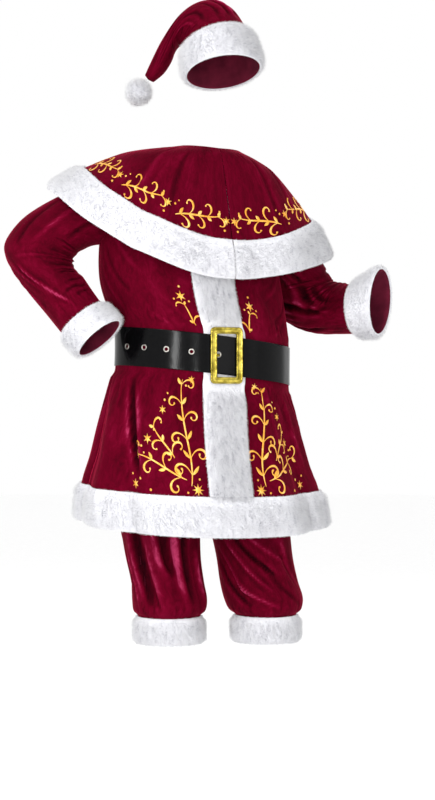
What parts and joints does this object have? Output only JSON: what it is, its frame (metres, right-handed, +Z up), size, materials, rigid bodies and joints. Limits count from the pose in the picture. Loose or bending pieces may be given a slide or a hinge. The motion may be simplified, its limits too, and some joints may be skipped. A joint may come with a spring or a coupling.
{
  "type": "santa suit",
  "caption": "Santa suit of burgundy crushed velvet with white faux fur: hat, belted coat, shoulder cape and knee trousers, in worn form.",
  "frame": {"origin": "middle of the coat's neckline, where the wearer's neck and shoulders hold the suit", "axes": "+Z up, the coat's front looks towards -Y, +X is the wearer's left"},
  "size_m": [0.9452, 0.4945, 1.5365],
  "materials": {
    "velvet": "crushed velvet, napped",
    "fur": "long-pile faux fur",
    "vinyl": "glossy smooth imitation leather",
    "brass": "polished",
    "eyelet": "plated"
  },
  "bodies": {
    "root": {"coat_front_right": "velvet", "coat_front_left": "velvet", "coat_back": "velvet", "sleeve_right": "velvet", "sleeve_left": "velvet", "cuff_fur_right": "fur", "cuff_fur_left": "fur", "placket_fur": "fur", "hem_fur": "fur", "cape": "velvet", "cape_fur": "fur", "trouser_leg_right": "velvet", "trouser_leg_left": "velvet", "trouser_fur_right": "fur", "trouser_fur_left": "fur", "waistband": "velvet", "belt_strap": "vinyl", "belt_buckle": "brass", "buckle_prong": "brass", "eyelet_1": "eyelet", "eyelet_2": "eyelet", "eyelet_3": "eyelet", "eyelet_4": "eyelet", "eyelet_5": "eyelet", "hat_crown": "velvet", "hat_fur": "fur", "hat_pompom": "fur"}
  },
  "joints": []
}
